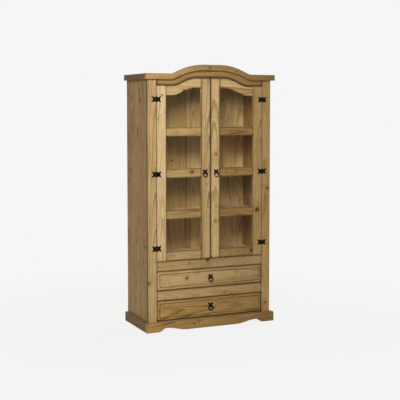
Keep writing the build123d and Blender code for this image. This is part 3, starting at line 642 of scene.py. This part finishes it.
def pine_finish(name, axes, seed, tone=1.0, fade=0.0, marked=0.5, pitch=None, glued=False,
                sides=0.0, field=BEYOND, reach=0.008, wax_and_shade=0.3, branch=NO_BRANCH, colours=WAXED):
    """Axes names the object's axis that runs across, through and along the board, such as ZYX
    for a rail. The pattern is centred on the node's box, whose half sizes give its edges.
    Tone scales red, and its powers of 1.2 and 1.7 scale green and blue, so a darker board is
    warmer. Fade darkens the high end and lightens the low one by that share, as painted shade.
    A low marked value gives more bruises. Pitch is the step between boards in a node, in metres,
    and glued boards touch.
    Sides is the dark wax and painted shade on a board's sides, the wax and shade value the same
    along its edges, and reach how far in that goes. Field is the quirk's distance from the edge. Branch is
    the chosen knot's place on the object and its radius. A pitch, field or place of BEYOND is off any board."""
    low, high = (np.array(corner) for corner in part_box(name))
    order = ["XYZ".index(axis) for axis in axes]
    half = ((high - low) / 2)[order]
    if pitch and not glued:
        half[0] -= pitch * round(half[0] / pitch)
    centre = ((high + low) / 2)[order]
    branch_place = np.array(branch[:3])[order] - centre
    kind = "bare_pine" if colours is BARE else "waxed_pine"
    material, tree = blank_material(f"{kind}_{name}")
    place = add(tree, "SeparateXYZ", {0: add(tree, "TexCoord")["Object"]})
    facing = add(tree, "SeparateXYZ", {0: add(tree, "TexCoord")["Normal"]})[order[1]]
    turned = add(tree, "CombineXYZ", {i: place[order[i]] for i in range(3)})
    centred = add(tree, "VectorMath", {0: turned[0], 1: centre.tolist()}, operation="SUBTRACT")
    made = tree.nodes.new("ShaderNodeGroup")
    made.node_tree = pine
    tree.links.new(centred[0], made.inputs["Board"])
    tree.links.new(facing, made.inputs["Facing"])
    values = {"Half": half.tolist(), "Pitch": pitch or BEYOND, "Glued": float(glued), "Seed": seed,
              "Tone": (tone, tone**1.2, tone**1.7), "Fade": fade, "Marked": marked, "Sides": sides,
              "Field": field, "Reach": reach, "Wax and shade": wax_and_shade,
              "Branch": (branch_place[0], branch_place[2], branch[3]),
              "Early wood": colours[0], "Late wood": colours[1]}
    for socket_name, value in values.items():
        made.inputs[socket_name].default_value = value
    surface = add(tree, "BsdfPrincipled", {"Base Color": made.outputs["Color"],
                                           "Roughness": made.outputs["Roughness"],
                                           "Specular IOR Level": 0.08, "Normal": made.outputs["Normal"]})
    add(tree, "OutputMaterial", {"Surface": surface[0]})
    nodes[name].material_slots[0].material = material
    return material


# %% [markdown]
# ### The boards' tones
# Each tone was tuned until its board measured like the one in the photograph, under this
# scene's lamps. It holds the board's own wax together with painted shade: the back panels, the
# right side panel, the boards of the right door, the rail under the crown and the cornice and
# plinth boards at the left side are darkened for the shade that falls on them. The right side
# panel was tuned by its inner face, which is all that shows of it, and the right cornice and
# plinth board are guesses.
# Eight boards have a knot that is easy to see, so its place on the object and its radius are
# given here.

# %% Tones and chosen knots
# Painted shade: tones well under 1 darken a board for the shade that falls on it, as well as for its wax.
tones_and_painted_shade = {
    "crown_front": 0.66, "cornice_left": 0.34, "cornice_right": 0.5,
    "plinth_front": 0.76, "plinth_left": 0.38, "plinth_right": 0.5,
    "side_panel_left": 0.84, "side_panel_right": 0.41,
    "face_post_left": 0.94, "face_post_right": 0.73,
    "face_top_rail": 0.6, "face_mid_rail": 0.82, "face_drawer_rail": 0.85,
    "upper_drawer_front": 0.9, "lower_drawer_front": 0.73,
    "door_left_hinge_stile": 1.2, "door_right_hinge_stile": 0.78,
    "door_left_glazing_bars": 0.79, "door_right_glazing_bars": 0.57,
    "door_left_bottom_rail": 0.88, "door_right_bottom_rail": 0.63,
    "back_panel_left": 0.6, "back_panel_right": 0.79, "back_centre_stile": 0.68,
}
branches = {
    "crown_front": (-0.017, -0.22, 1.847, 0.005),
    "side_panel_left": (-0.465, 0.148, 1.121, 0.008),
    "face_post_left": (-0.474, -0.2, 0.345, 0.008),
    "face_mid_rail": (-0.023, -0.2, 0.484, 0.012),
    "door_left_top_rail": (-0.206, -0.2, 1.688, 0.007),
    "door_right_hinge_stile": (0.374, -0.2, 0.827, 0.014),
    "door_right_bottom_rail": (0.33, -0.2, 0.53, 0.011),
    "back_panel_left": (-0.131, 0.2, 1.177, 0.008),
}
print("boards with their own tone:", len(tones_and_painted_shade), "with a chosen knot:", len(branches))

# %% [markdown]
# ### The boards' axes
# Posts and stiles run upright, rails and shelves run sideways, and the cornice, the cleats and
# the runners run to the back. The side panels are glued up from staves of 80 mm, the back and
# the shelves from wider ones. The door bars share a node and sit a bay apart. The front's
# boards have dark sides and edges, dark wax with painted shade for the gaps. The rail under the
# crown has a wide dark edge, the painted shadow of the gap over the doors, and the drawers a
# dark quirk round the field, 20 mm in, dark wax with the painted shadow of its step. The longest
# word that a node's name contains decides, so a name such as face_top_rail goes before rail.

# %% Table of boards
BAY = 0.291
# Painted shade: these values darken the front boards' sides and edges for the shadow in the gaps, along with
# dark wax.
FRONT = {"sides": 1.0, "reach": 0.01, "wax_and_shade": 0.95}
EDGE = {"sides": 0.85, "reach": 0.007, "wax_and_shade": 0.35}
FACE_RAIL = {"fade": 0.1, **FRONT}
DRAWER = {"fade": 0.18, "field": 0.0205, **FRONT}
boards = {
    "face_post": ("XYZ", EDGE),
    "side_panel": ("YXZ", {"pitch": 0.08, "glued": True, "reach": 0.01, "wax_and_shade": 0.4, "marked": 0.3,
                           "colours": STRIPED}),
    "back_panel": ("XYZ", {"pitch": 0.093, "glued": True, "reach": 0.004, "fade": 0.3}),
    "back_centre_stile": ("XYZ", {"reach": 0.009, "wax_and_shade": 0.8}),
    "hinge_stile": ("XYZ", EDGE),
    "lock_stile": ("XYZ", FRONT),
    "glazing_bars": ("ZYX", {"pitch": BAY, **FRONT}),
    "glazing_beads": ("XYZ", {}),
    "bottom_rail": ("ZYX", FRONT),
    "top_rail": ("ZYX", FRONT),
    "face_top_rail": ("ZYX", {"fade": 0.1, "sides": 1.0, "reach": 0.018, "wax_and_shade": 1.0}),
    "drawer_rail": ("ZYX", FACE_RAIL),
    "mid_rail": ("ZYX", FACE_RAIL),
    "crown_front": ("ZYX", {"fade": 0.3, "sides": 0.25, "reach": 0.006, "wax_and_shade": 0.1}),
    "plinth_front": ("ZYX", {"fade": 0.27, "colours": STRIPED}),
    "plinth_left": ("ZXY", {}),
    "plinth_right": ("ZXY", {}),
    "lower_drawer_front": ("ZYX", {"marked": 0.42, "colours": STRIPED, **DRAWER}),
    "drawer_front": ("ZYX", DRAWER),
    "cornice": ("ZXY", {}),
    "top_panel": ("YZX", {"pitch": 0.1, "glued": True}),
    "compartment_floor": ("YZX", {"pitch": 0.1, "glued": True}),
    "shelf": ("YZX", {"pitch": 0.095, "glued": True}),
}
bare_boards = {
    "drawer_box": ("ZXY", {}), "drawer_bottom": ("YZX", {}), "drawer_runners": ("ZXY", {}),
    "cleats": ("ZXY", {}), "corner_blocks": ("XYZ", {}), "back_bottom_rail": ("ZYX", {}),
    "base_panel": ("YZX", {"pitch": 0.12, "glued": True}),
}
print("kinds of board:", len(boards), "waxed and", len(bare_boards), "bare")

# %% [markdown]
# Each board now takes its finish, in the order of the names, and with a seed of its own.

# %% Finish the boards
FIRST_SEED, SEED_GAP = 3.0, 1.7
seed = FIRST_SEED
for name in sorted(nodes):
    for table, colours in ((bare_boards, BARE), (boards, WAXED)):
        match = [key for key in table if key in name]
        if match:
            axes_named, options = table[max(match, key=len)]
            options = {"colours": colours, "branch": branches.get(name, NO_BRANCH), **options}
            pine_finish(name, axes_named, seed, tone=tones_and_painted_shade.get(name, 1.0), **options)
            seed += SEED_GAP
            break
print("pine finishes:", sum("pine" in material.name for material in bpy.data.materials))

# %% [markdown]
# ## Glass
# The panes are float glass, so they are flat and clear, with a faint green in their thickness.
# Glass bends the light of a lamp away, which would leave the shelves in the dark, so for rays
# from a lamp the pane is transparent. Its gloss is kept low, by an IOR of 1.15 in place of
# 1.5, as the pale studio would veil the dark inside. A wiped pane is a little smeared, in
# clouds of about 140 mm.

# %% Panes
GLASS_IOR = 1.15
SMEAR_FROM, SMEAR_TO, SMEAR_MOST = 0.45, 0.75, 0.03
float_glass, tree = blank_material("float_glass")
place = add(tree, "TexCoord")["Object"]
smear = add(tree, "TexNoise", {"Vector": place, "Scale": 7.0, "Detail": 3.0})["Fac"]
smear = add(tree, "MapRange", {"Value": smear, "From Min": SMEAR_FROM, "From Max": SMEAR_TO,
                               "To Max": SMEAR_MOST})[0]
tint = add(tree, "TexNoise", {"Vector": place, "Scale": 2.0})["Fac"]
tint = add(tree, "Mix", {0: tint, 6: linear("#FBFDFC"), 7: linear("#F5FAF7")}, data_type="RGBA")[2]
clear = add(tree, "BsdfPrincipled", {"Base Color": tint, "Roughness": smear, "IOR": GLASS_IOR,
                                     "Transmission Weight": 1.0})
through_light = add(tree, "BsdfTransparent")
lamp_ray = add(tree, "LightPath")["Is Shadow Ray"]
mixed = add(tree, "MixShader", {0: lamp_ray, 1: clear[0], 2: through_light[0]})
add(tree, "OutputMaterial", {"Surface": mixed[0]})
pane_nodes = [name for name in nodes if name.endswith("panes")]
for name in pane_nodes:
    nodes[name].material_slots[0].material = float_glass
print("float glass on", len(pane_nodes), "nodes")

# %% [markdown]
# ## Iron and plastic
# The fittings are wrought iron, hammered cold and blackened with wax. The hammer leaves
# shallow facets 4 mm across. The black is thin, so it shows greyer in patches. The catches
# are moulded ABS, brown and finely grained, 1 mm to the grain.

# %% Make the fittings' finishes
def mottled(name, dark, light, metallic, roughness, dent, strength, depth):
    """A noise with cells of the size dent, in metres, mixes the two colours and varies the
    roughness by a fifth. Cells of the same size, rounded, give the relief."""
    material, tree = blank_material(name)
    place = add(tree, "TexCoord")["Object"]
    patch = add(tree, "TexNoise", {"Vector": place, "Scale": 1 / dent, "Detail": 3.0,
                                   "Roughness": 0.6})["Fac"]
    patch = add(tree, "MapRange", {"Value": patch, "From Min": 0.38, "From Max": 0.7})[0]
    colour = add(tree, "Mix", {0: patch, 6: linear(dark), 7: linear(light)}, data_type="RGBA")[2]
    rough = add(tree, "Math", {0: patch, 1: -0.2 * roughness, 2: roughness}, operation="MULTIPLY_ADD")[0]
    facets = add(tree, "TexVoronoi", {"Vector": place, "Scale": 1 / dent, "Smoothness": 0.6},
                 feature="SMOOTH_F1")[0]
    relief = add(tree, "Bump", {"Height": facets, "Strength": strength, "Distance": depth})[0]
    surface = add(tree, "BsdfPrincipled", {"Base Color": colour, "Metallic": metallic, "Roughness": rough,
                                           "Normal": relief})
    add(tree, "OutputMaterial", {"Surface": surface[0]})
    return material


black_iron = mottled("blackened_wrought_iron", "#0E0D0C", "#262321", 1.0, 0.46, 0.004, 0.5, 0.0006)
brown_abs = mottled("moulded_brown_abs", "#4A3423", "#5B4330", 0.0, 0.5, 0.001, 0.3, 0.0001)
nodes["door_catches"].material_slots[0].material = brown_abs
iron_nodes = [name for name in nodes
              if any(word in name for word in ("leaves", "pins", "pull_plate", "pull_ring"))]
for name in iron_nodes:
    nodes[name].material_slots[0].material = black_iron
print("wrought iron on", len(iron_nodes), "nodes")

# %% [markdown]
# ## Forged plates
# A hinge leaf and a pull's backplate are both cut from 2 mm sheet, with the rim filed to a
# bevel and the middle hammered slightly up. Both outlines can be seen whole from one point
# inside them, so a plate is its outline drawn in towards that point, step by step, while the
# height follows a bevel's profile. This gives the highlight along the rim that a flat cut
# sheet doesn't have.

# %% Plate from an outline
MM = 0.001
face_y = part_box("face_mid_rail")[0].y


def outline_points(corners, spacing=1.2):
    """Goes round the corners and divides each straight run into equal steps near spacing mm."""
    corners = np.asarray(corners, float)
    ends = np.roll(corners, -1, axis=0)
    counts = np.maximum(1, np.round(np.hypot(*(ends - corners).T) / spacing)).astype(int)
    runs = [a + (b - a) * np.arange(n)[:, None] / n for a, b, n in zip(corners, ends, counts)]
    return np.concatenate(runs)


def plate(corners, middle, place, flip=1.0, thickness=2.0, dome=0.5):
    """Each ring lies a share of the way plus an inset in mm inside the outline, along the lines
    to the middle, and proud mm off the door. Rows of share, inset and proud are the plate's
    profile: the back, the upright rim, a bevel 0.8 mm wide, and a crown that rises to the
    middle by dome mm. Place is in metres."""
    rim = outline_points(corners)
    inward = np.asarray(middle, float) - rim
    reach = np.hypot(*inward.T)[:, None]
    profile = ((1.0, 0.0, 0.0), (0.0, 0.0, 0.0), (0.0, 0.0, thickness - 0.7),
               (0.0, 0.25, thickness - 0.2), (0.0, 0.8, thickness),
               (0.35, 0.6, thickness + 0.5 * dome), (0.7, 0.3, thickness + 0.9 * dome),
               (1.0, 0.0, thickness + dome))
    rings = []
    for share, inset, proud in profile:
        flat = rim + inward * np.clip(share + inset / reach, 0, 1)
        rings.append(np.stack([place[0] + flip * flat[:, 0] * MM,
                               np.full(len(rim), place[1] - proud * MM),
                               place[2] + flat[:, 1] * MM], -1))
    return grid(np.stack(rings))


print("front face at y =", round(face_y, 4))

# %% [markdown]
# ## Turned and bent pieces
# Screw heads, bosses and pin heads are turned: a profile of radius and height goes round an
# axis. Rings and eyes are bent rod: a small circle goes round a large one.

# %% Turn and bend
def turned(profile, centre, axis, count=20):
    """The profile is rows of radius and height in mm. Each goes round the axis through the
    centre, given in metres."""
    profile = np.asarray(profile, float)
    turn = 2 * pi * np.arange(count) / count
    axis = np.asarray(axis, float)
    side = np.array([0.0, 0.0, 1.0]) if abs(axis[1]) > 0.5 else np.array([1.0, 0.0, 0.0])
    other = np.cross(axis, side)
    around = np.cos(turn)[:, None] * side + np.sin(turn)[:, None] * other
    points = profile[:, 0, None, None] * around + profile[:, 1, None, None] * axis
    return grid(np.asarray(centre, float) + points * MM)


def bent_rod(centre, normal, radius, across, through, count=64, sides=16, swell=0.0):
    """A section of half sizes across and through follows a circle of that radius about the
    normal. Swell thickens it towards its lowest point, as a forged ring is thickest there."""
    turn = (2 * pi * np.arange(count) / count)[:, None]
    roll = (2 * pi * np.arange(sides) / sides)[None, :]
    normal = np.asarray(normal, float)
    up = np.array([0.0, 0.0, 1.0])
    outward = np.cos(turn)[..., None] * up + np.sin(turn)[..., None] * np.cross(normal, up)
    size = 1 + swell * (1 - np.cos(turn)) / 2
    line = (radius + size * across * np.cos(roll))[..., None] * outward
    points = line + (size * through * np.sin(roll))[..., None] * normal
    return grid(np.asarray(centre, float) + points * MM, closed_rows=True)


# %% [markdown]
# A screw isn't turned, because a slot has to be cut into it with sharp sides. So its head is a
# square grid pressed round, with lines close together where the slot's sides fall.

# %% Screws
HEAD_RADIUS, HEAD_DOME = 2.7, 1.1
SLOT_HALF, SLOT_DEPTH = 0.16, 0.6
HEAD_PROUD = 0.05


def screw(centre, turn_degrees):
    """A domed head 5.4 mm across. With r as the share of the radius, its height is 1.1 mm times
    1 less the square of r. Where b, the way across the slot, is below 0.16, which makes a slot
    0.9 mm wide, the height is 0.6 mm less. The head is then turned about its axis."""
    lines = np.array([-1, -0.85, -0.6, -0.35, -0.18, -0.14, 0.14, 0.18, 0.35, 0.6, 0.85, 1])
    a, b = np.meshgrid(lines, lines, indexing="ij")
    x, z = a * np.sqrt(1 - b**2 / 2), b * np.sqrt(1 - a**2 / 2)
    in_slot = (np.abs(b) < SLOT_HALF) * (x**2 + z**2 < 0.98)
    proud = HEAD_DOME * (1 - (x**2 + z**2)) - SLOT_DEPTH * in_slot
    turn = radians(turn_degrees)
    across = HEAD_RADIUS * (x * np.cos(turn) - z * np.sin(turn))
    up = HEAD_RADIUS * (x * np.sin(turn) + z * np.cos(turn))
    points = np.stack([across, -np.maximum(proud, 0) - HEAD_PROUD, up], -1)
    return grid(np.asarray(centre, float) + points * MM, closed_columns=False)


print("a screw head has", len(screw((0, 0, 0), 0)[1]), "faces")

# %% [markdown]
# ## Butterfly hinges
# Each leaf is half a disc with two flared tails, like half a butterfly. The door's leaf wraps
# round the middle third of the pin and the post's leaf round its ends. Each is held by three
# domed, slotted screws. The axis stands 4.5 mm in front of the door, midway between the two
# leaves, so the places come from the CAD pins' own box.

# %% Leaf outline and hinge places
PIN_RADIUS, PIN_HALF = 1.6, 20.0
DISC_RADIUS = 19.4
arc = np.radians(np.linspace(76.3, 41.5, 9))
upper = [(4.7, 18.9), *zip(DISC_RADIUS * np.cos(arc[1:]), DISC_RADIUS * np.sin(arc[1:])),
         (17.5, 15.4), (28.8, 21.4), (32.4, 19.6), (34.4, 16.2), (29.3, 7.2), (25.9, 0.8)]
leaf_outline = upper + [(x, -z) for x, z in reversed(upper)]
screw_spots = [(11.5, 11.6), (11.5, -11.6), (19.0, 0.0)]
pin_low, pin_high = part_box("hinge_pins")
hinge_x = pin_high.x - PIN_RADIUS * MM
axis_y = pin_low.y + PIN_RADIUS * MM
ends = (pin_low.z + PIN_HALF * MM, pin_high.z - PIN_HALF * MM)
hinge_heights = (ends[0], sum(ends) / 2, ends[1])
print("hinge axis at x =", round(hinge_x, 4), "y =", round(axis_y, 4),
      "heights", [round(z, 4) for z in hinge_heights])

# %% [markdown]
# The knuckle is the leaf's own sheet, rolled round the pin. The door's is in the middle of the
# pin, and the post's two close it in above and below, with 0.3 mm of air between them.

# %% Knuckles
def knuckle(x, z, length, outward):
    """The sheet rolled round the pin: a closed roll of radius 4 mm with softened ends, and the
    tongue of sheet that joins it to the leaf, a five-sided section carried up the roll."""
    half = length / 2
    roll = turned([(0, -half), (3.5, -half), (4, -half + 0.5), (4, half - 0.5), (3.5, half), (0, half)],
                  (x, axis_y, z), (0, 0, 1), count=28)
    section = np.array([(6.0, 4.4), (6.0, 2.4), (4.4, 1.7), (3.3, 0.4), (1.0, 3.6)])
    levels = np.array([-half + 0.1, -half + 0.1, half - 0.1, half - 0.1])[:, None]
    shrink = np.array([0.0, 1.0, 1.0, 0.0])[:, None, None]
    middle = section.mean(axis=0)
    plan = middle + shrink * (section - middle)
    heights = np.broadcast_to(levels, plan.shape[:2])
    points = np.stack([outward * plan[..., 0], plan[..., 1], heights], -1)
    return [roll, grid(np.array([x, axis_y, z]) + points * MM)]


DOOR_KNUCKLES = ((0.0, 11.4),)
POST_KNUCKLES = ((12.0, 12.0), (-12.0, 12.0))
print("knuckles at each pin:", len(DOOR_KNUCKLES + POST_KNUCKLES))

# %% [markdown]
# The three leaves on one side of the pins make one piece. Every screw was stopped at its own
# angle, so its slot is turned by a mix of its place on the leaf and the leaf's height.

# %% Leaves
LEAF_SEAT = 2.35
TURN_ACROSS, TURN_UP, TURN_BY_HEIGHT = 37.0, 11.0, 900.0


def leaves(x, outward, knuckles):
    """All three leaves on one side of the pins at x, with their screws, and with the knuckles
    given as their height off the hinge's middle and their length, in mm."""
    parts = []
    for height in hinge_heights:
        parts.append(plate(leaf_outline, (14.0, 0.0), (x, face_y, height), flip=outward))
        for spot_x, spot_z in screw_spots:
            centre = (x + outward * spot_x * MM, face_y - LEAF_SEAT * MM, height + spot_z * MM)
            turn = TURN_ACROSS * spot_x + TURN_UP * spot_z + TURN_BY_HEIGHT * height
            parts.append(screw(centre, turn))
        for offset, length in knuckles:
            parts += knuckle(x, height + offset * MM, length, outward)
    return parts


for hand, side in (("left", -1), ("right", 1)):
    made = piece(f"{hand}_door_butterfly_leaves", leaves(side * hinge_x, -side, DOOR_KNUCKLES), black_iron)
    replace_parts(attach(made, f"door_{hand}"), f"door_{hand}_hinge_leaves")
post_parts = leaves(-hinge_x, -1, POST_KNUCKLES) + leaves(hinge_x, 1, POST_KNUCKLES)
made = piece("post_butterfly_leaves", post_parts, black_iron)
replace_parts(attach(made, "cabinet"), "hinge_post_leaves")

# %% [markdown]
# The pin is a rod of 3.2 mm with its ends hammered over into small buttons, which stop it from
# dropping through the knuckles.

# %% Pins
button = [(0, -20.6), (1.3, -20.4), (2.2, -19.8), (2.5, -19.0), (2.3, -18.2), (1.6, -18.0)]
rod = button + [(radius, -height) for radius, height in reversed(button)]
pins = [turned(rod, (side * hinge_x, axis_y, height), (0, 0, 1))
        for side in (-1, 1) for height in hinge_heights]
made = piece("hinge_pin_rods", pins, black_iron)
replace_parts(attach(made, "cabinet"), "hinge_pins")

# %% [markdown]
# ## Ring pulls
# Each pull has a crossed backplate with flared arms, four screws, a round boss and an eye, and
# a ring of bent rod hangs through the eye. The eye's hole runs from side to side, so that the
# ring can swing out and up. Both come from the boxes of the CAD pieces.

# %% Backplates
ARM_ANGLES = 45 + 90 * np.arange(4)
ARM_SCREW, PLATE_SEAT = 16.5, 2.3
TURN_BY_ARM = 63.0
EYE_OUT = 8.5
boss = [(0, 1.0), (10.4, 1.6), (10.4, 2.3), (9.6, 2.9), (8.4, 2.9), (7.2, 3.4), (4.8, 3.8), (0, 4.0)]
neck = [(0, 3.2), (4.4, 3.4), (3.2, 3.8), (2.8, 4.2), (2.6, 4.6), (0, 4.7)]


def cross_outline():
    """One arm as points of its own length and width, turned by 45 degrees and three times more
    by 90. The arm narrows a little beyond the boss, flares to its end and has a shallow notch."""
    arm = np.array([(9.1, -6.3), (14.0, -6.0), (19.0, -6.8), (22.0, -6.7), (22.4, -3.8), (21.6, 0.0),
                    (22.4, 3.8), (22.0, 6.7), (19.0, 6.8), (14.0, 6.0), (9.1, 6.3)])
    turn = np.radians(ARM_ANGLES)[:, None]
    x = arm[:, 0] * np.cos(turn) - arm[:, 1] * np.sin(turn)
    z = arm[:, 0] * np.sin(turn) + arm[:, 1] * np.cos(turn)
    return np.stack([x, z], -1).reshape(-1, 2)


def pull(plate_node):
    """The backplate, its screws, a stepped boss, a waisted neck and the eye."""
    low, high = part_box(plate_node)
    x, z = (low.x + high.x) / 2, (low.z + high.z) / 2
    parts = [plate(cross_outline(), (0.0, 0.0), (x, face_y, z)),
             turned(boss, (x, face_y, z), (0, -1, 0), count=40),
             turned(neck, (x, face_y, z), (0, -1, 0), count=24),
             bent_rod((x, face_y - EYE_OUT * MM, z), (1, 0, 0), 4.9, 1.35, 2.7, count=40, sides=14)]
    for arm, angle in enumerate(np.radians(ARM_ANGLES)):
        centre = (x + ARM_SCREW * np.cos(angle) * MM, face_y - PLATE_SEAT * MM,
                  z + ARM_SCREW * np.sin(angle) * MM)
        parts.append(screw(centre, TURN_BY_ARM * arm + TURN_BY_HEIGHT * z))
    return parts


holders = ("door_left", "door_right", "lower_drawer", "upper_drawer")
for holder in holders:
    made = piece(f"{holder}_crossed_backplate", pull(f"{holder}_pull_plate"), black_iron)
    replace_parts(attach(made, holder), f"{holder}_pull_plate")

# %% [markdown]
# The ring was bent from rod 5.8 mm thick round a mandrel, and its lower part, which the hand
# takes, was left a tenth thicker.

# %% Rings
RING_RADIUS, ROD_ACROSS, ROD_THROUGH = 17.0, 2.9, 2.8
for holder in holders:
    low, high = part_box(f"{holder}_pull_ring")
    ring = bent_rod((low + high) / 2, (0, 1, 0), RING_RADIUS, ROD_ACROSS, ROD_THROUGH, swell=0.1)
    made = piece(f"{holder}_forged_ring", [ring], black_iron)
    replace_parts(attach(made, f"{holder}_ring"), f"{holder}_pull_ring")
